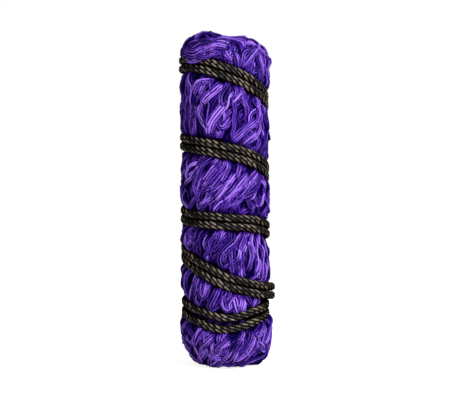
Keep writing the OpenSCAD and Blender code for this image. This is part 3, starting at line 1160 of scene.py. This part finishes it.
class NetSizes(bpy.types.PropertyGroup):
    """Sizes of the netting."""
    yarn_d: length("Yarn", "Diameter of one yarn of the net's twine", 0.0025, 0.0008, 0.003)
    yarn_pitch: length("Yarn pitch", "Distance between yarns side by side", 0.0026, 0.0008, 0.003)
    twine_spacing: length("Spacing", "Distance between neighbouring twines", 0.0068, 0.003, 0.015)
    pile_depth: length("Pile depth", "Thickness of the laid netting", 0.0068, 0.003, 0.012)
    mesh_half: length("Half mesh", "Half of the length of a flattened mesh", 0.022, 0.01, 0.05)
    mesh_bend: length("Mesh bend", "How far a twine bends to its neighbours", 0.0026, 0, 0.004)
    step: length("Step", "Distance between the rings of a yarn", 0.0026, 0.001, 0.005)
    lean_scatter: number("Lean scatter", "How much the twines' lean varies, in degrees", 15.0,
                         min=0, max=40)
    sway: number("Sway", "How much a twine's lean varies along it, in degrees", 18.0,
                 min=0, max=60)
    turned_over: number("Turned over", "Share of the twines that turn over once", 0.3,
                        min=0, max=1)
    evenness: number("Evenness", "How little the yarns of one twine stand out from each other",
                     0.0, min=-1, max=2)
    # Painted shade deep in the pile and in the cord's grooves
    deep_painted_shade: number("Deep shade", "How much darker the deepest twines are", 1.7,
                       min=0, max=3)
    groove_painted_shade: number("Groove shade", "How much darker twines in the cord's grooves are",
                         0.2, min=0, max=2)
    loops: whole("Loops", "Small loops that stand out of the pile", 80, min=0)
    strays: whole("Strays", "Short lengths of twine on top of the pile", 120, min=0)
    bridges: whole("Bridges", "Twines that cross the valley at the top", 30, min=0)
    bridging: whole("Bridging", "How stiffly a twine bridges dips", 3, min=0, max=20)
    seed: whole("Seed", "Number that the random lay starts from", 33)


class CordSizes(bpy.types.PropertyGroup):
    """Sizes of the drawcord."""
    lay: length("Lay", "Length in which a strand goes once round the cord", 0.037, 0.015, 0.05)
    strands: whole("Strands", "Strands of the laid cord", 6, min=3, max=8)
    strand_d: length("Strand", "Diameter of one strand", 0.0026, 0.001, 0.005)
    strand_r: length("Strand circle", "Radius of the circle of strands", 0.0027, 0.001, 0.004)
    ring_step: length("Step", "Distance between the rings of a strand", 0.0018, 0.001, 0.005)
    # Painted shade at the cord's edges and along its seam
    edge_painted_shade: number("Edge shade", "How much darker the strands are at the cord's edges", 0.9,
                       min=0, max=2)
    seam_painted_shade: number("Seam shade", "How much darker the seam along the outer side is", 0.62,
                       min=0, max=2)
    wear: number("Wear", "How uneven the strands' shade is along the cord", 0.16, min=0, max=1)


class ColoursAndPaintedLight(bpy.types.PropertyGroup):
    """Colours of the net and the drawcord: painted shade deep down and on the flanks, the own
    colour with painted light on the outer side, and the core in painted shade.
    """
    # The net's painted shade deep in the pile and on the flanks, and its violet, partly its own
    # colour and partly painted light, on the outer side
    net_deep_painted_shade: colour("Net, deep", "The violet twine deep in the pile", (0.004, 0.001, 0.055))
    net_flank_painted_shade: colour("Net, flanks", "The violet twine's flanks", (0.063, 0.0115, 0.305))
    net_outer_painted_light: colour("Net, outer", "The violet twine's outer side", (0.33, 0.155, 0.72))
    # The core's colour is painted shade, near black
    core: colour("Net core", "Netting deep inside the roll", (0.004, 0.0, 0.035))
    # The cord's painted shade in its grooves and on its flanks, and on its outer side its colour
    # lightened as painted light
    cord_deep_painted_shade: colour("Cord, deep", "The drawcord's grooves", (0.002, 0.0015, 0.001))
    cord_flank_painted_shade: colour("Cord, flanks", "The drawcord's flanks", (0.011, 0.008, 0.0065))
    cord_outer_painted_light: colour("Cord, outer", "The drawcord's outer side", (0.196, 0.156, 0.114))


class Studio(bpy.types.PropertyGroup):
    """Camera and lights."""
    distance: length("Camera distance", "From the roll's axis", 0.935, 0.3, 5)
    height: length("Camera height", "Above the floor", 0.1576, 0, 2)
    lens: number("Lens", "Focal length in millimetres", 77.7, min=20, max=200)
    key: number("Key light", "Power of the key light in watts", 31.5, min=0)
    fill: number("Fill light", "Power of the fill light in watts", 4.0, min=0)
    ambient: number("Ambient", "Strength of the light from all round", 0.22, min=0)


# ------------------------ operators

class HAYNET_OT_camera(bpy.types.Operator):
    """Place the camera in front of the roll, level with its middle"""
    bl_idname = "haynet.camera"
    bl_label = "Camera"

    def execute(self, context):
        studio = context.scene.haynet_studio
        data = bpy.data.cameras.new("camera")
        data.sensor_width = 36.0
        data.lens = studio.lens
        camera = put_in("camera", data)
        camera.location = (-LEFT_SHIFT, -FRONT_SHIFT - studio.distance, studio.height)
        camera.rotation_euler = (math.radians(90), 0, 0)
        context.scene.camera = camera
        return {"FINISHED"}


# The seam along the cord's outer side: its width and its depth
SEAM_WIDTH = 0.038
SEAM_DIP = 0.0005
# A strand is painted in shade where it turns from the outer side, and varies in girth and in its
# own tone
OUTER_SIDE = 0.87
STRAND_EVEN = -0.1
STRAND_GIRTH = (0.012, 0.05)
GIRTH_RANGE = (0.88, 1.02)
WEAR_LENGTH = 0.005
STRAND_SHADE = 0.4
UPPER_START = 0.15


class HAYNET_OT_drawcord(bpy.types.Operator):
    """Lay the drawcord's two runs strand by strand along its route"""
    bl_idname = "haynet.drawcord"
    bl_label = "Drawcord"

    def execute(self, context):
        sizes, palette = context.scene.haynet_cord, context.scene.haynet_finish
        material = twine_material(
            "drawcord", (palette.cord_deep_painted_shade, palette.cord_flank_painted_shade, palette.cord_outer_painted_light),
            roughness=0.4, flank=0.82, streaks=3.0, grain=4.0, contrast=1.1, bump=0.8,
            sheen=(0.5, 0.5, 0.5))
        for side, node in ((1, "drawcord_upper_run"), (-1, "drawcord_lower_run")):
            a = np.arange(ROUTE_START, ROUTE_END + 0.1, 0.5)
            way = way_along(run_point(a, side))
            count = int(way[-1] / sizes.ring_step)
            even = np.interp(np.linspace(0, way[-1], count), way, a)
            middle = run_point(even, side)
            way = way_along(middle)
            mesh = tube_mesh(node + "_laid", self.run(sizes, side, middle, way, upward(even)), 8)
            piece = finish_piece(node + "_laid", mesh, material)
            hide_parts(node)
        return {"FINISHED"}

    def run(self, sizes, side, middle, way, up):
        """The strands of one run and the heart that they are laid round."""
        count, step = len(middle), sizes.ring_step
        out = np.cross(unit(np.gradient(middle, axis=0)), up)
        rng = np.random.default_rng(2 + side)
        shared = {"way": way, "turn": 1, "centre": middle, "across": out, "half": 1.0}
        strands = []
        for k in range(sizes.strands):
            turn = TURN * (k / sizes.strands + (UPPER_START if side > 0 else 0.0))
            turn = np.radians(turn - TURN * way / sizes.lay)
            away = out * np.cos(turn)[:, None] + up * np.sin(turn)[:, None]
            # The outer side has a shallow seam along its middle, as a plaited cord has; painted
            # shade darkens the seam and the cord's edges
            seam = np.exp((np.cos(turn) - 1) / SEAM_WIDTH)
            cord_painted_shade = (sizes.edge_painted_shade * np.clip(OUTER_SIDE - np.cos(turn), 0, 1)
                      + sizes.seam_painted_shade * seam)
            worn = sizes.wear * np.abs(wobble(rng, count, step, WEAR_LENGTH, 1))
            own = 1 + wobble(rng, count, step, *STRAND_GIRTH)
            reach = sizes.strand_r - SEAM_DIP * seam
            strands.append(shared | {
                "line": middle + reach[:, None] * away, "out": away, "painted_shade_and_wear": cord_painted_shade + worn,
                "radius": sizes.strand_d / 2 * np.clip(own, *GIRTH_RANGE),
                "even": STRAND_EVEN, "shade": STRAND_SHADE * k})
        # The heart is painted wholly in the deep shade colour
        heart = np.full(count, sizes.strand_r - sizes.strand_d / 4)
        strands.append(shared | {"line": middle, "out": out, "painted_shade_and_wear": np.ones(count),
                                 "radius": heart, "even": 0.0, "shade": 0.0})
        return strands


# How deep the core lies under the skin, and how near to the foot's seam its form is read
CORE_DEPTH = 0.004
CORE_LEAST = 0.003


class HAYNET_OT_core(bpy.types.Operator):
    """Make the rolled netting that shows between the outer strands, painted near black as shade
    """
    bl_idname = "haynet.core"
    bl_label = "Rolled core"

    def execute(self, context):
        sizes, palette = context.scene.haynet_net, context.scene.haynet_finish
        pile = Pile(np.random.default_rng(sizes.seed), sizes.pile_depth)
        build = bmesh.new()
        bmesh.ops.create_uvsphere(build, u_segments=96, v_segments=180, radius=1.0)
        co = np.array([vert.co for vert in build.verts])
        a = np.degrees(np.arctan2(co[:, 0], -co[:, 1]))
        share = np.arccos(np.clip(-co[:, 2], -1, 1)) / math.pi
        v = share * (TOP_V + top_length(a))
        s, n, _ = skin_frame(a, np.clip(v, CORE_LEAST, None))
        h = np.minimum(pile.read(pile.height, a, v), -CORE_DEPTH)
        for vert, point in zip(build.verts, s + n * h[:, None]):
            vert.co = point
        for face in build.faces:
            face.smooth = True
        mesh = bpy.data.meshes.new("net_core")
        bmesh.ops.recalc_face_normals(build, faces=build.faces)
        build.to_mesh(mesh)
        build.free()
        piece = finish_piece("net_core", mesh, painted_shade_core_material("net_core", palette.core))
        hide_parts("net_inner_roll")
        return {"FINISHED"}


class HAYNET_OT_netting(bpy.types.Operator):
    """Lay the net's twines over the roll, layer by layer"""
    bl_idname = "haynet.netting"
    bl_label = "Netting"

    def execute(self, context):
        sizes, palette = context.scene.haynet_net, context.scene.haynet_finish
        material = twine_material(
            "net_twine", (palette.net_deep_painted_shade, palette.net_flank_painted_shade, palette.net_outer_painted_light), roughness=0.38,
            flank=0.6, streaks=3.0, grain=1.5, contrast=0.6, bump=0.35, sheen=(0.375, 0.3, 0.5))
        weaver = Weaver(sizes)
        for layer in range(len(PROUD_OF_LAYER)):
            weaver.ribbon(layer)
            weaver.top(layer)
            weaver.foot(layer)
        weaver.bundles()
        weaver.bridges(sizes.bridges)
        weaver.strays(sizes.strays)
        weaver.loops(sizes.loops)
        names = {TOP_GROUP: "net_top", OVER_CORD: "net_over_cord", FOOT_GROUP: "net_foot"}
        for group in sorted({yarn["group"] for yarn in weaver.yarns}):
            lines = [yarn for yarn in weaver.yarns if yarn["group"] == group]
            name = names.get(group, f"net_winding_{group}")
            piece = finish_piece(name, tube_mesh(name, lines, 6), material)
            if group == TOP_GROUP:
                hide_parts("net_top_fold_left", "net_top_fold_right")
            elif group == FOOT_GROUP:
                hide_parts("net_foot_fold")
            elif group == 1:
                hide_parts("net_outer_layer")
        return {"FINISHED"}


# Each lamp's size and place
LAMPS = {"key": (0.5, (0.75, -1.0, 0.95)), "fill": (0.9, (-1.0, -0.9, 0.5))}


class HAYNET_OT_stage(bpy.types.Operator):
    """Set up the white floor, the backdrop and the soft studio light"""
    bl_idname = "haynet.stage"
    bl_label = "Stage"

    def execute(self, context):
        studio = context.scene.haynet_studio
        build = bmesh.new()
        bmesh.ops.create_grid(build, x_segments=1, y_segments=1, size=6.0)
        mesh = bpy.data.meshes.new("floor")
        build.to_mesh(mesh)
        build.free()
        floor = put_in("floor", mesh)
        mesh.materials.append(floor_material("floor"))
        context.scene.world = studio_world("studio", studio.ambient)
        for name, (size, spot) in LAMPS.items():
            data = bpy.data.lights.new(name, "AREA")
            data.energy = getattr(studio, name)
            data.size = size
            lamp = put_in(name, data)
            lamp.location = spot
            aim = put_in(name + "_aim", None)
            aim.location = (0, 0, ROLL_H / 2)
            track = lamp.constraints.new("TRACK_TO")
            track.target = aim
            track.track_axis = "TRACK_NEGATIVE_Z"
            track.up_axis = "UP_Y"
        context.scene.view_settings.view_transform = "Standard"
        return {"FINISHED"}


class HAYNET_PT_panel(bpy.types.Panel):
    """The hay net's sizes, finishes and pieces"""
    bl_label = "Hay net"
    bl_idname = "HAYNET_PT_panel"
    bl_space_type = "VIEW_3D"
    bl_region_type = "UI"
    bl_category = "Hay net"

    def draw(self, context):
        layout = self.layout
        for label in GROUPS:
            group = getattr(context.scene, label)
            box = layout.box()
            for name in group.__annotations__:
                box.prop(group, name)
        for operator in OPERATORS:
            layout.operator(operator.bl_idname)


GROUPS = {"haynet_net": NetSizes, "haynet_cord": CordSizes, "haynet_finish": ColoursAndPaintedLight,
          "haynet_studio": Studio}
OPERATORS = (HAYNET_OT_camera, HAYNET_OT_drawcord, HAYNET_OT_core, HAYNET_OT_netting,
             HAYNET_OT_stage)


def register():
    for name, group in GROUPS.items():
        bpy.utils.register_class(group)
        setattr(bpy.types.Scene, name, bpy.props.PointerProperty(type=group))
    for cls in OPERATORS + (HAYNET_PT_panel,):
        bpy.utils.register_class(cls)


def unregister():
    for cls in reversed(OPERATORS + (HAYNET_PT_panel,)):
        bpy.utils.unregister_class(cls)
    for name, group in reversed(GROUPS.items()):
        delattr(bpy.types.Scene, name)
        bpy.utils.unregister_class(group)


def main():
    register()
    bpy.ops.haynet.camera()
    bpy.ops.haynet.drawcord()
    bpy.ops.haynet.core()
    bpy.ops.haynet.netting()
    bpy.ops.haynet.stage()


if __name__ == "__main__":
    main()
